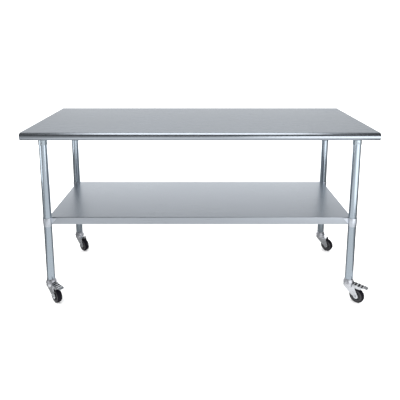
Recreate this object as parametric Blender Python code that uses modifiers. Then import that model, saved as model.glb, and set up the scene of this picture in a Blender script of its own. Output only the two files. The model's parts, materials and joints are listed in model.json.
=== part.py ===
"""Stainless work table on swivel casters, with a height-adjustable undershelf.

Units are metres, +Z is up. The origin is on the floor under the middle of the top.
+X runs along the table's length, and the front is at -Y.
"""

import math

import bmesh
import bpy
from mathutils import Matrix, Vector

# Driving dimensions ---------------------------------------------------------
LENGTH = 1.8288
DEPTH = 0.762
HEIGHT = 0.965
GAP = 0.0003

TOP_SHEET = 0.0012
EDGE_HEIGHT = 0.0413
EDGE_LIP = 0.012

LEG_INSET = 0.0889
LEG_OUTER_R = 0.0218
LEG_WALL = 0.0015
LEG_BOTTOM = 0.1235

CHANNEL_SHEET = 0.0015
CHANNEL_DEPTH = 0.026
CHANNEL_FLANGE = 0.020
LEG_CHANNEL_WEB = 0.080
LEG_CHANNEL_LENGTH = 0.700
CENTRE_CHANNEL_WEB = 0.060

SOCKET_WALL = 0.0013
SOCKET_BOTTOM = 0.885
SOCKET_PLATE = 0.0030
SOCKET_PLATE_SIDE = 0.076

SHELF_LENGTH = 1.647
SHELF_DEPTH = 0.576
SHELF_TOP = 0.477
SHELF_SHEET = 0.0012
SHELF_EDGE = 0.040
SHELF_BEND = 0.0030
SHELF_CHANNEL_DEPTH = 0.018
SHELF_CHANNEL_WEB = 0.060
SHELF_CHANNEL_LENGTH = 1.480

COLLAR_WALL = 0.0019
COLLAR_TOP = 0.4785
COLLAR_HEIGHT = 0.0480
COLLAR_TAPER = 0.0008
COLLAR_PLATE = 0.0030
COLLAR_PLATE_REACH = 0.062

SCREW_R = 0.0040
SCREW_LENGTH = 0.0050
SCREW_HEX_R = 0.0024
SCREW_HEX_DEPTH = 0.0025
LEG_SCREW_UP = 0.010
COLLAR_SCREW_UP = 0.014

# Caster dimensions, in the caster's own frame: +X trails from the stem to the
# axle, +Y runs along the axle, and Z is the height above the floor.
CASTER_ANGLE = math.radians(-42)
WHEEL_R = 0.0400
WHEEL_WIDTH = 0.0280
HUB_R = 0.0265
TRAIL = 0.0500
FORK_INNER = 0.0167
FORK_SHEET = 0.0025
FORK_END_R = 0.0130
CROWN_BOTTOM = 0.0848
CROWN_SHEET = 0.0028
SKIRT_BOTTOM = 0.0770
SKIRT_R = 0.0208
CUP_R = 0.0272
CUP_TOP = 0.0983
RACE_R = 0.0288
RACE_BOTTOM = 0.0988
RACE_TOP = 0.1215
RACE_SHEET = 0.0022
RACE_SHOULDER_R = 0.0212
STEM_R = 0.0060
STEM_TOP = 0.2020
SLEEVE_BOTTOM = 0.1280
SLEEVE_TOP = 0.1870
AXLE_R = 0.0040
AXLE_HOLE_R = 0.0043
TONGUE_END = 0.0500
LIP_END = 0.0545
LIP_TOP = 0.1010
PIVOT = Vector((0.0350, 0.0, 0.0950))
PIVOT_R = 0.0025
PEDAL_HALF_WIDTH = 0.0162
PEDAL_SHEET = 0.0016
PEDAL_TREAD = 0.0020
PEDAL_PATH = ((0.0300, 0.1055), (0.0925, 0.1030), (0.1082, 0.0990))
PEDAL_SLOTS = (0.0440, 0.0622, 0.0797)
PEDAL_SLOT_LENGTH = 0.0096
PEDAL_SLOT_DEPTH = 0.0035
PEDAL_TAB_HALF_WIDTH = 0.0125
SHOE = ((0.0475, 0.0846), (0.0600, 0.0870))
SHOE_HALF_WIDTH = 0.0105
SHOE_POST = 0.0035

# The race's flare, as (radius, z) from its shoulder to its rim.
RACE_FLARE = ((0.0236, 0.1176), (0.0264, 0.1102))

# Outlines in the caster's X and Z. The ears hold the pedal's pivot, and the arm's
# lower lobe reaches down beside the tyre.
FORK_BACK = ((-0.0215, 0.0800), (-0.0225, 0.0871))
FORK_EARS = (
    (0.0275, 0.0871),
    (0.0290, 0.0985),
    (0.0318, 0.1010),
    (0.0382, 0.1010),
    (0.0410, 0.0985),
    (0.0440, 0.0831),
)
PEDAL_ARM = (
    (0.0305, 0.1047),
    (0.0302, 0.0950),
    (0.0330, 0.0912),
    (0.0420, 0.0862),
    (0.0510, 0.0838),
    (0.0690, 0.0850),
    (0.0745, 0.0868),
    (0.0768, 0.0900),
    (0.0785, 0.0930),
    (0.0915, 0.0985),
    (0.0920, 0.1020),
)

TUBE_SIDES = 24
TYRE_SIDES = 28
RING_SIDES = 20
SMALL_SIDES = 12
BEND_STEPS = 3
SHARP_ANGLE = math.radians(35)

CORNERS = {
    "front_left": (-1, -1),
    "front_right": (1, -1),
    "rear_left": (-1, 1),
    "rear_right": (1, 1),
}


# Scene and materials --------------------------------------------------------
def clear_scene():
    for obj in list(bpy.data.objects):
        bpy.data.objects.remove(obj, do_unlink=True)


def collection(name):
    made = bpy.data.collections.new(name)
    bpy.context.scene.collection.children.link(made)
    return made


def material(name, colour, metallic, roughness):
    made = bpy.data.materials.new(name)
    made.use_nodes = True
    shader = made.node_tree.nodes["Principled BSDF"]
    shader.inputs["Base Color"].default_value = (*colour, 1)
    shader.inputs["Metallic"].default_value = metallic
    shader.inputs["Roughness"].default_value = roughness
    return made


# Modelling helpers ----------------------------------------------------------
def helper(mesh):
    """A temporary object in the scene, for modifiers to work on."""
    obj = bpy.data.objects.new("helper", mesh)
    bpy.context.scene.collection.objects.link(obj)
    return obj


def baked(obj, used=()):
    """The mesh that an object's modifiers make. The object and those it used are removed."""
    graph = bpy.context.evaluated_depsgraph_get()
    mesh = bpy.data.meshes.new_from_object(obj.evaluated_get(graph), depsgraph=graph)
    for spent in (obj, *used):
        bpy.data.objects.remove(spent, do_unlink=True)
    return mesh


def combined(base, operations):
    """One mesh from a base mesh and a list of (operation, mesh)."""
    body = helper(base)
    others = []
    for operation, mesh in operations:
        other = helper(mesh)
        others.append(other)
        modifier = body.modifiers.new(operation, "BOOLEAN")
        modifier.operation = operation
        modifier.solver = "EXACT"
        modifier.object = other
    return baked(body, others)


def turned(profile, sides, on_axis=False):
    """A mesh turned about Z. The profile is (radius, z), going down its outer side."""
    mesh = bpy.data.meshes.new("profile")
    points = [(radius, 0, z) for radius, z in profile]
    count = len(points)
    ends = count - 1 if on_axis else count
    mesh.from_pydata(points, [(i, (i + 1) % count) for i in range(ends)], [])
    obj = helper(mesh)
    screw = obj.modifiers.new("Turn", "SCREW")
    screw.steps = sides
    screw.render_steps = sides
    screw.use_merge_vertices = True
    screw.merge_threshold = 0.00001
    return baked(obj)


def box(low, high):
    mesh = bpy.data.meshes.new("box")
    shape = bmesh.new()
    bmesh.ops.create_cube(shape, size=1)
    low, high = Vector(low), Vector(high)
    size = high - low
    bmesh.ops.scale(shape, vec=size, verts=shape.verts)
    bmesh.ops.translate(shape, vec=(low + high) / 2, verts=shape.verts)
    shape.to_mesh(mesh)
    shape.free()
    return mesh


def rod(radius, start, end, sides, end_radius=None):
    """A straight solid rod between two points, which may taper."""
    mesh = bpy.data.meshes.new("rod")
    start, end = Vector(start), Vector(end)
    along = end - start
    turn = along.to_track_quat("Z", "Y").to_matrix().to_4x4()
    shape = bmesh.new()
    bmesh.ops.create_cone(
        shape,
        cap_ends=True,
        segments=sides,
        radius1=radius,
        radius2=radius if end_radius is None else end_radius,
        depth=along.length,
        matrix=Matrix.Translation((start + end) / 2) @ turn,
    )
    shape.to_mesh(mesh)
    shape.free()
    return mesh


def plate(outline, low_y, high_y):
    """An outline of (x, z) points, made into a plate between two values of y."""
    mesh = bpy.data.meshes.new("plate")
    shape = bmesh.new()
    face = shape.faces.new([shape.verts.new((x, low_y, z)) for x, z in outline])
    made = bmesh.ops.extrude_face_region(shape, geom=[face])
    moved = [item for item in made["geom"] if isinstance(item, bmesh.types.BMVert)]
    bmesh.ops.translate(shape, vec=(0, high_y - low_y, 0), verts=moved)
    bmesh.ops.recalc_face_normals(shape, faces=shape.faces)
    shape.to_mesh(mesh)
    shape.free()
    return mesh


def arc(centre, radius, start, end, steps):
    """Points on an arc, with its angles in degrees, both ends included."""
    angles = [math.radians(start + (end - start) * i / steps) for i in range(steps + 1)]
    return [
        (centre[0] + radius * math.cos(angle), centre[1] + radius * math.sin(angle))
        for angle in angles
    ]


def with_bends(points, radius):
    """A folded path whose inner corners are bent to a radius."""
    path = [Vector(points[0])]
    for before, corner, after in zip(points, points[1:], points[2:]):
        corner = Vector(corner)
        back = (Vector(before) - corner).normalized()
        onward = (Vector(after) - corner).normalized()
        half = back.angle(onward) / 2
        reach = radius / math.tan(half)
        centre = corner + (back + onward).normalized() * radius / math.sin(half)
        first = corner + back * reach - centre
        last = corner + onward * reach - centre
        swept = first.angle_signed(last)
        for step in range(BEND_STEPS + 1):
            turn = Matrix.Rotation(-swept * step / BEND_STEPS, 2)
            path.append(centre + turn @ first)
    path.append(Vector(points[-1]))
    return path


def folded_strip(path, length, thickness):
    """A sheet folded along a path of (across, z) points and run for a length along X."""
    mesh = bpy.data.meshes.new("strip")
    shape = bmesh.new()
    rows = [
        [shape.verts.new((end, across, z)) for across, z in path]
        for end in (-length / 2, length / 2)
    ]
    for i in range(len(path) - 1):
        shape.faces.new((rows[0][i], rows[1][i], rows[1][i + 1], rows[0][i + 1]))
    shape.to_mesh(mesh)
    shape.free()
    obj = helper(mesh)
    solid = obj.modifiers.new("Sheet", "SOLIDIFY")
    solid.thickness = thickness
    solid.offset = -1
    solid.use_even_offset = True
    return baked(obj)


def hat_channel(length, web, depth):
    """A hat channel along X, hanging below z = 0 from its two flanges."""
    side = web / 2
    rim = side + CHANNEL_FLANGE
    level = -CHANNEL_SHEET
    path = with_bends(
        ((rim, level), (side, level), (side, -depth), (-side, -depth), (-side, level), (-rim, level)),
        radius=0.002,
    )
    return folded_strip(path, length, CHANNEL_SHEET)


def pan_mesh(path, length, thickness):
    """A shell that is open below: a profile run along X, and a flat plate on each end."""
    mesh = bpy.data.meshes.new("pan")
    shape = bmesh.new()
    rows = [
        [shape.verts.new((end, across, z)) for across, z in path]
        for end in (-length / 2, length / 2)
    ]
    for i in range(len(path) - 1):
        shape.faces.new((rows[0][i], rows[1][i], rows[1][i + 1], rows[0][i + 1]))
    shape.faces.new(rows[0])
    shape.faces.new(rows[1][::-1])
    bmesh.ops.recalc_face_normals(shape, faces=shape.faces)
    top = max(shape.faces, key=lambda face: face.calc_area())
    if top.normal.z < 0:
        bmesh.ops.reverse_faces(shape, faces=shape.faces)
    shape.to_mesh(mesh)
    shape.free()
    obj = helper(mesh)
    solid = obj.modifiers.new("Sheet", "SOLIDIFY")
    solid.thickness = thickness
    solid.offset = -1
    solid.use_even_offset = True
    solid.use_quality_normals = True
    return baked(obj)


class Assembly:
    """Places finished meshes in the table's collection as its named parts."""

    def __init__(self, name):
        self.collection = collection(name)

    def empty(self, name, location, angle):
        made = bpy.data.objects.new(name, None)
        made.location = location
        made.rotation_euler = (0, 0, angle)
        self.collection.objects.link(made)
        return made

    def part(self, name, mesh, finish, location=(0, 0, 0), rotation=(0, 0, 0), parent=None):
        if mesh.users == 0:
            mesh.name = name
        if not mesh.materials:
            mesh.materials.append(finish)
            mesh.shade_smooth()
            mesh.set_sharp_from_angle(angle=SHARP_ANGLE)
        made = bpy.data.objects.new(name, mesh)
        made.location = location
        made.rotation_euler = rotation
        made.parent = parent
        self.collection.objects.link(made)
        return made


# Top and frame --------------------------------------------------------------
def leg_place(corner):
    side, face = CORNERS[corner]
    return side * (LENGTH / 2 - LEG_INSET), face * (DEPTH / 2 - LEG_INSET)


def tabletop_mesh():
    """The worktop: rolled front and rear edges, flat turned-down ends."""
    radius = EDGE_HEIGHT / 2
    middle = DEPTH / 2 - radius
    front = arc((-middle, HEIGHT - radius), radius, 270, 90, 12)
    rear = arc((middle, HEIGHT - radius), radius, 90, -90, 12)
    low = HEIGHT - EDGE_HEIGHT
    path = [(-middle + EDGE_LIP, low), *front, *rear, (middle - EDGE_LIP, low)]
    return pan_mesh(path, LENGTH, TOP_SHEET)


def leg_socket_mesh():
    """A cup that holds the top of a leg, under a square plate."""
    inner = LEG_OUTER_R + GAP
    outer = inner + SOCKET_WALL
    plate_top = HEIGHT - TOP_SHEET - CHANNEL_DEPTH - 2 * GAP
    plate_bottom = plate_top - SOCKET_PLATE
    half = SOCKET_PLATE_SIDE / 2
    square = box((-half, -half, plate_bottom), (half, half, plate_top))
    barrel = rod(outer, (0, 0, SOCKET_BOTTOM), (0, 0, plate_top - 0.001), TUBE_SIDES)
    bore = rod(inner, (0, 0, SOCKET_BOTTOM - 0.01), (0, 0, plate_bottom), TUBE_SIDES)
    height = SOCKET_BOTTOM + LEG_SCREW_UP
    hole = rod(SCREW_R + GAP, (0, 0, height), (0, -0.04, height), SMALL_SIDES)
    return combined(square, [("UNION", barrel), ("DIFFERENCE", bore), ("DIFFERENCE", hole)])


def set_screw_mesh():
    """A socket set screw along +X, with its inner end at x = 0."""
    body = rod(SCREW_R, (0, 0, 0), (SCREW_LENGTH, 0, 0), SMALL_SIDES)
    hexagon = rod(
        SCREW_HEX_R,
        (SCREW_LENGTH - SCREW_HEX_DEPTH, 0, 0),
        (SCREW_LENGTH + 0.002, 0, 0),
        6,
    )
    return combined(body, [("DIFFERENCE", hexagon)])


def leg_mesh():
    outer, inner = LEG_OUTER_R, LEG_OUTER_R - LEG_WALL
    top = HEIGHT - TOP_SHEET - CHANNEL_DEPTH - 3 * GAP - SOCKET_PLATE
    return turned(
        ((outer, top), (outer, LEG_BOTTOM), (inner, LEG_BOTTOM), (inner, top)), TUBE_SIDES
    )


def add_top(table, steel, frame_steel):
    table.part("tabletop", tabletop_mesh(), steel)
    under = HEIGHT - TOP_SHEET - GAP
    leg_x, _ = leg_place("front_right")
    side_channel = hat_channel(LEG_CHANNEL_LENGTH, LEG_CHANNEL_WEB, CHANNEL_DEPTH)
    for name, x in (("left_leg_channel", -leg_x), ("right_leg_channel", leg_x)):
        table.part(name, side_channel, frame_steel, (x, 0, under), (0, 0, math.pi / 2))
    room = leg_x - LEG_CHANNEL_WEB / 2 - CHANNEL_FLANGE - 0.0015
    centre = hat_channel(2 * room, CENTRE_CHANNEL_WEB, CHANNEL_DEPTH)
    table.part("centre_channel", centre, frame_steel, (0, 0, under))


def add_legs(table, steel, cast, screw_steel):
    leg, socket, screw = leg_mesh(), leg_socket_mesh(), set_screw_mesh()
    for corner, (_, face) in CORNERS.items():
        x, y = leg_place(corner)
        turn = 0 if face < 0 else math.pi
        table.part(f"{corner}_leg", leg, steel, (x, y, 0))
        table.part(f"{corner}_leg_socket", socket, cast, (x, y, 0), (0, 0, turn))
        table.part(
            f"{corner}_leg_socket_screw",
            screw,
            screw_steel,
            (x, y + face * (LEG_OUTER_R + GAP), SOCKET_BOTTOM + LEG_SCREW_UP),
            (0, 0, turn - math.pi / 2),
        )


# Undershelf -----------------------------------------------------------------
def undershelf_mesh():
    """A shallow pan with turned-down edges, whose corners are cut out round the legs."""
    half = SHELF_DEPTH / 2
    low = SHELF_TOP - SHELF_EDGE
    corners = ((-half, low), (-half, SHELF_TOP), (half, SHELF_TOP), (half, low))
    path = with_bends(corners, SHELF_BEND)
    pan = pan_mesh(path, SHELF_LENGTH, SHELF_SHEET)
    clear = LEG_OUTER_R + GAP + COLLAR_WALL + GAP
    cuts = []
    for corner in CORNERS:
        x, y = leg_place(corner)
        tall = rod(clear, (x, y, low - 0.02), (x, y, SHELF_TOP + 0.02), 48)
        cuts.append(("DIFFERENCE", tall))
    return combined(pan, cuts)


def shelf_socket_mesh():
    """A tapered collar round a leg, with a plate that reaches in under the shelf's corner.

    The shelf is towards -X and -Y of the leg.
    """
    inner = LEG_OUTER_R + GAP
    outer = inner + COLLAR_WALL
    low = COLLAR_TOP - COLLAR_HEIGHT
    leg_x, leg_y = leg_place("rear_right")
    edge_x = SHELF_LENGTH / 2 - SHELF_BEND - leg_x
    edge_y = SHELF_DEPTH / 2 - SHELF_BEND - leg_y
    plate_top = SHELF_TOP - SHELF_SHEET - GAP
    ring = turned(
        (
            (inner, COLLAR_TOP),
            (outer, COLLAR_TOP),
            (outer, low + COLLAR_HEIGHT / 3),
            (outer - COLLAR_TAPER, low),
            (inner, low),
        ),
        TUBE_SIDES,
    )
    arm = box(
        (-COLLAR_PLATE_REACH, -COLLAR_PLATE_REACH, plate_top - COLLAR_PLATE),
        (edge_x, edge_y, plate_top),
    )
    clear = rod(inner + COLLAR_WALL / 3, (0, 0, low), (0, 0, COLLAR_TOP), 40)
    height = low + COLLAR_SCREW_UP
    hole = rod(SCREW_R + GAP, (0, 0, height), (-0.03, -0.03, height), SMALL_SIDES)
    cut_arm = combined(arm, [("DIFFERENCE", clear)])
    return combined(ring, [("UNION", cut_arm), ("DIFFERENCE", hole)])


def add_undershelf(table, steel, frame_steel, cast, screw_steel):
    table.part("undershelf", undershelf_mesh(), steel)
    channel = hat_channel(SHELF_CHANNEL_LENGTH, SHELF_CHANNEL_WEB, SHELF_CHANNEL_DEPTH)
    under = SHELF_TOP - SHELF_SHEET - GAP
    table.part("undershelf_channel", channel, frame_steel, (0, 0, under))
    socket, screw = shelf_socket_mesh(), set_screw_mesh()
    mirrored = socket.copy()
    mirrored.transform(Matrix.Scale(-1, 4, (1, 0, 0)))
    mirrored.flip_normals()
    height = COLLAR_TOP - COLLAR_HEIGHT + COLLAR_SCREW_UP
    reach = LEG_OUTER_R + GAP
    for corner, (side, face) in CORNERS.items():
        x, y = leg_place(corner)
        mesh = socket if side == face else mirrored
        turn = 0 if face > 0 else math.pi
        table.part(f"{corner}_shelf_socket", mesh, cast, (x, y, 0), (0, 0, turn))
        inwards = math.atan2(-face, -side)
        table.part(
            f"{corner}_shelf_socket_screw",
            screw,
            screw_steel,
            (x + reach * math.cos(inwards), y + reach * math.sin(inwards), height),
            (0, 0, inwards),
        )


# Casters --------------------------------------------------------------------
def stem_mesh():
    """The kingpin and stem in one: head, shoulder washer, shaft and top nut."""
    head, washer, nut = 0.0095, 0.0208, 0.0105
    head_height, nut_height = 0.0050, 0.0085
    head_top = CROWN_BOTTOM - GAP
    nut_low = SLEEVE_TOP + GAP
    washer_bottom = RACE_TOP + GAP
    washer_top = LEG_BOTTOM - GAP
    return turned(
        (
            (0, STEM_TOP),
            (STEM_R, STEM_TOP),
            (STEM_R, nut_low + nut_height),
            (nut, nut_low + nut_height),
            (nut, nut_low),
            (STEM_R, nut_low),
            (STEM_R, washer_top),
            (washer, washer_top),
            (washer, washer_bottom),
            (STEM_R, washer_bottom),
            (STEM_R, head_top),
            (head, head_top),
            (head, head_top - head_height),
            (0, head_top - head_height),
        ),
        SMALL_SIDES,
        on_axis=True,
    )


def sleeve_mesh():
    """The rubber sleeve that the stem's nut swells against the inside of the leg."""
    outer = LEG_OUTER_R - LEG_WALL - GAP
    inner = STEM_R + GAP
    return turned(
        ((outer, SLEEVE_TOP), (outer, SLEEVE_BOTTOM), (inner, SLEEVE_BOTTOM), (inner, SLEEVE_TOP)),
        RING_SIDES,
    )


def race_mesh():
    """The upper ball race, a pressed dome that stays with the leg."""
    hole = STEM_R + GAP
    rim_inner = RACE_R - RACE_SHEET
    return turned(
        (
            (hole, RACE_TOP),
            (RACE_SHOULDER_R, RACE_TOP),
            *RACE_FLARE,
            (RACE_R, 0.1035),
            (RACE_R, RACE_BOTTOM),
            (rim_inner, RACE_BOTTOM),
            (rim_inner - 0.0002, 0.1030),
            (0.0242, 0.1090),
            (RACE_SHOULDER_R - 0.0012, RACE_TOP - RACE_SHEET),
            (hole, RACE_TOP - RACE_SHEET),
        ),
        RING_SIDES,
    )


def fork_outline(eared):
    """The side of the fork, as (x, z) points. The front pair has ears for the brake pedal."""
    top = FORK_BACK[-1][1]
    end = arc((TRAIL, WHEEL_R), FORK_END_R, 12, -150, 9)
    bare = ((TONGUE_END - 0.003, top), (TONGUE_END, top - 0.006))
    return [*FORK_BACK, *(FORK_EARS if eared else bare), *end]


def yoke_mesh(eared):
    """The pressed fork: a crown with the lower ball cup, and two sides down to the axle."""
    top = CROWN_BOTTOM + CROWN_SHEET
    outer = FORK_INNER + FORK_SHEET
    rim = CUP_R + 0.0005
    skirt_inner = SKIRT_R - FORK_SHEET
    crown = turned(
        (
            (0, top),
            (rim - 0.0012, top),
            (rim, top - 0.0012),
            (rim, CROWN_BOTTOM),
            (SKIRT_R, SKIRT_BOTTOM),
            (skirt_inner, SKIRT_BOTTOM),
            (skirt_inner, CROWN_BOTTOM),
            (0, CROWN_BOTTOM),
        ),
        RING_SIDES,
        on_axis=True,
    )
    crown.transform(Matrix.Rotation(math.pi / RING_SIDES, 4, "Z"))
    reach = 0.0300 if eared else TONGUE_END
    bridge = box(
        (0, -outer + 0.0004, CROWN_BOTTOM + 0.0002), (reach, outer - 0.0004, top - 0.0003)
    )
    cup = turned(
        (
            (CUP_R, CUP_TOP),
            (CUP_R, top - 0.0015),
            (CUP_R - 0.003, top - 0.0015),
            (CUP_R - 0.003, CUP_TOP),
        ),
        RING_SIDES,
    )
    steps = [("UNION", bridge), ("UNION", cup)]
    outline = fork_outline(eared)
    for low in (-outer, FORK_INNER):
        steps.append(("UNION", plate(outline, low, low + FORK_SHEET)))
    if not eared:
        half = FORK_INNER - 0.0025
        lip = (
            (TONGUE_END - 0.003, CROWN_BOTTOM + 0.0004),
            (TONGUE_END, CROWN_BOTTOM + 0.0004),
            (LIP_END + 0.0012, LIP_TOP - 0.001),
            (LIP_END - 0.0010, LIP_TOP),
            (TONGUE_END - 0.0015, top - 0.0006),
            (TONGUE_END - 0.003, top - 0.0006),
        )
        steps.append(("UNION", plate(lip, -half, half)))
    hole = rod(STEM_R + 0.0005, (0, 0, CROWN_BOTTOM - 0.01), (0, 0, top + 0.01), SMALL_SIDES)
    axle = rod(AXLE_HOLE_R, (TRAIL, -0.03, WHEEL_R), (TRAIL, 0.03, WHEEL_R), SMALL_SIDES)
    steps += [("DIFFERENCE", hole), ("DIFFERENCE", axle)]
    if eared:
        pin = rod(
            PIVOT_R + GAP,
            (PIVOT.x, -0.03, PIVOT.z),
            (PIVOT.x, 0.03, PIVOT.z),
            SMALL_SIDES,
        )
        steps.append(("DIFFERENCE", pin))
    return combined(crown, steps)


def tyre_mesh():
    """The tyre stands on one of its facets, so its corners lie a little outside its radius."""
    half = WHEEL_WIDTH / 2
    inner = HUB_R + GAP
    tread = WHEEL_R / math.cos(math.pi / TYRE_SIDES)
    mesh = turned(
        (
            (inner, half - 0.0015),
            (tread - 0.0095, half),
            (tread - 0.0030, half - 0.0012),
            (tread, half - 0.0070),
            (tread, -half + 0.0070),
            (tread - 0.0030, -half + 0.0012),
            (tread - 0.0095, -half),
            (inner, -half + 0.0015),
        ),
        TYRE_SIDES,
    )
    mesh.transform(Matrix.Rotation(math.pi / TYRE_SIDES, 4, "Z"))
    return mesh


def hub_mesh():
    half = WHEEL_WIDTH / 2
    boss = FORK_INNER - 0.0005
    boss_r, web_r, web = 0.0088, 0.0215, 0.0060
    rim = half - 0.0022
    return turned(
        (
            (AXLE_HOLE_R, boss),
            (boss_r, boss),
            (boss_r, web),
            (web_r, web),
            (HUB_R, rim),
            (HUB_R, -rim),
            (web_r, -web),
            (boss_r, -web),
            (boss_r, -boss),
            (AXLE_HOLE_R, -boss),
        ),
        RING_SIDES,
    )


def axle_bolt_mesh():
    """A low-headed bolt along Z through the wheel's middle, with its head at -Z."""
    face = FORK_INNER + FORK_SHEET + GAP
    shank = rod(AXLE_R, (0, 0, -face - 0.001), (0, 0, face + 0.0062), SMALL_SIDES)
    head = rod(0.0035, (0, 0, -face - 0.0026), (0, 0, -face), SMALL_SIDES, end_radius=0.0056)
    return combined(head, [("UNION", shank)])


def axle_nut_mesh():
    face = FORK_INNER + FORK_SHEET + GAP
    body = rod(0.0066, (0, 0, face), (0, 0, face + 0.0046), 6)
    bore = rod(AXLE_HOLE_R, (0, 0, face - 0.01), (0, 0, face + 0.02), SMALL_SIDES)
    return combined(body, [("DIFFERENCE", bore)])


def pedal_mesh():
    """The brake pedal: a barred tread on two side arms, its pivot pin and its shoe."""
    (start_x, start_z), (bend_x, bend_z), (end_x, end_z) = PEDAL_PATH
    half = PEDAL_HALF_WIDTH
    tread_outline = (
        (start_x, start_z),
        (bend_x, bend_z),
        (end_x, end_z),
        (end_x - 0.0008, end_z - PEDAL_TREAD),
        (bend_x - 0.0006, bend_z - PEDAL_TREAD),
        (start_x, start_z - PEDAL_TREAD),
    )
    steps = []
    for low in (-half, half - PEDAL_SHEET):
        steps.append(("UNION", plate(PEDAL_ARM, low, low + PEDAL_SHEET)))
    slope = (bend_z - start_z) / (bend_x - start_x)
    reach, wide = PEDAL_SLOT_LENGTH / 2, half + 0.001
    for x in PEDAL_SLOTS:
        z = start_z + slope * (x - start_x)
        slot = box((x - reach, -wide, z - PEDAL_SLOT_DEPTH), (x + reach, wide, z + 0.004))
        steps.append(("DIFFERENCE", slot))
    (shoe_start, shoe_low), (shoe_end, shoe_high) = SHOE
    shoe = box(
        (shoe_start, -SHOE_HALF_WIDTH, shoe_low), (shoe_end, SHOE_HALF_WIDTH, shoe_high)
    )
    post_x = (PEDAL_SLOTS[0] + PEDAL_SLOTS[1] - SHOE_POST) / 2
    post_top = start_z + slope * (post_x - start_x) - PEDAL_TREAD / 2
    post = box(
        (post_x, 0.0015 - SHOE_HALF_WIDTH, shoe_low + 0.0005),
        (post_x + SHOE_POST, SHOE_HALF_WIDTH - 0.0015, post_top),
    )
    tip = FORK_INNER + FORK_SHEET + 0.0010
    pin = rod(PIVOT_R, (PIVOT.x, -tip, PIVOT.z), (PIVOT.x, tip, PIVOT.z), SMALL_SIDES)
    steps += [("UNION", post), ("UNION", shoe), ("UNION", pin)]
    for side in (-1, 1):
        spare = (side * PEDAL_TAB_HALF_WIDTH, side * (half + 0.005))
        corner = box((bend_x, min(spare), end_z - 0.01), (end_x + 0.01, max(spare), bend_z + 0.01))
        steps.append(("DIFFERENCE", corner))
    mesh = combined(plate(tread_outline, -half, half), steps)
    mesh.transform(Matrix.Translation(-PIVOT))
    return mesh


def add_casters(table, zinc, dark_zinc, rubber, plastic):
    stem, sleeve, race = stem_mesh(), sleeve_mesh(), race_mesh()
    yokes = {-1: yoke_mesh(True), 1: yoke_mesh(False)}
    tyre, hub = tyre_mesh(), hub_mesh()
    bolt, nut, pedal = axle_bolt_mesh(), axle_nut_mesh(), pedal_mesh()
    axle_place = (TRAIL, 0, WHEEL_R)
    axle_turn = (-math.pi / 2, 0, 0)
    for corner, (_, face) in CORNERS.items():
        x, y = leg_place(corner)
        swivel = table.empty(f"{corner}_swivel", (x, y, 0), CASTER_ANGLE)
        on_axis = {"parent": swivel}
        on_axle = {"parent": swivel, "location": axle_place, "rotation": axle_turn}
        table.part(f"{corner}_caster_stem", stem, dark_zinc, **on_axis)
        table.part(f"{corner}_caster_sleeve", sleeve, rubber, **on_axis)
        table.part(f"{corner}_caster_race", race, zinc, **on_axis)
        table.part(f"{corner}_caster_yoke", yokes[face], zinc, **on_axis)
        table.part(f"{corner}_axle_bolt", bolt, dark_zinc, **on_axle)
        table.part(f"{corner}_axle_nut", nut, dark_zinc, **on_axle)
        table.part(f"{corner}_tyre", tyre, rubber, **on_axle)
        table.part(f"{corner}_wheel_hub", hub, plastic, **on_axle)
        if face < 0:
            table.part(f"{corner}_brake_pedal", pedal, zinc, location=PIVOT, parent=swivel)


def main():
    clear_scene()
    table = Assembly("stainless_work_table")
    steel = material("brushed_stainless", (0.56, 0.58, 0.60), 1.0, 0.32)
    frame_steel = material("galvanised_sheet", (0.50, 0.52, 0.53), 1.0, 0.45)
    cast = material("cast_stainless", (0.60, 0.61, 0.62), 1.0, 0.38)
    screw_steel = material("blackened_screw", (0.06, 0.06, 0.065), 0.8, 0.45)
    zinc = material("bright_zinc", (0.72, 0.73, 0.75), 1.0, 0.22)
    dark_zinc = material("dull_zinc", (0.42, 0.43, 0.45), 1.0, 0.38)
    rubber = material("black_rubber", (0.02, 0.02, 0.024), 0.0, 0.65)
    plastic = material("grey_hub_plastic", (0.10, 0.10, 0.11), 0.0, 0.50)
    add_top(table, steel, frame_steel)
    add_legs(table, steel, cast, screw_steel)
    add_undershelf(table, steel, frame_steel, cast, screw_steel)
    add_casters(table, zinc, dark_zinc, rubber, plastic)


main()
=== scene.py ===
"""Looks of the stainless work table: detailed pieces, materials, light and camera.

Everything is in metres in the table's own frame: the floor is z = 0, +X runs along
the table, and the front is at -Y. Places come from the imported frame.
"""

import json
import math

import bmesh
import bpy
from mathutils import Matrix, Vector


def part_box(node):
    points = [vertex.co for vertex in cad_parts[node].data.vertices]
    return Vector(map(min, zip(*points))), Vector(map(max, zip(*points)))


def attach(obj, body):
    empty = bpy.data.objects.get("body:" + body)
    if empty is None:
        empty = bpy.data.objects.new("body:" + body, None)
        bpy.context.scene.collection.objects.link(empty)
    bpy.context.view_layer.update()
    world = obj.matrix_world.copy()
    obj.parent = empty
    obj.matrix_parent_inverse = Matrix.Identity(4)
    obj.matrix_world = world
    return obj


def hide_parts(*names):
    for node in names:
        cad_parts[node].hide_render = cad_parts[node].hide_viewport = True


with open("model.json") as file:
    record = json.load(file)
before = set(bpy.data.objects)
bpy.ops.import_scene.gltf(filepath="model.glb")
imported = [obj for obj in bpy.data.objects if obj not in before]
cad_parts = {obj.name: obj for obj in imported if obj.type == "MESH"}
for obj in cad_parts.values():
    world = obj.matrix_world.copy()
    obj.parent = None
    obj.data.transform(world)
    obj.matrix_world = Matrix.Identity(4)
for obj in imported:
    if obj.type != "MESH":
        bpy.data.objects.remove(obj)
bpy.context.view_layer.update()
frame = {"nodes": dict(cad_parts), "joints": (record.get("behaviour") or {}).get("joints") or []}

CORNERS = ("front_left", "front_right", "rear_left", "rear_right")

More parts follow.
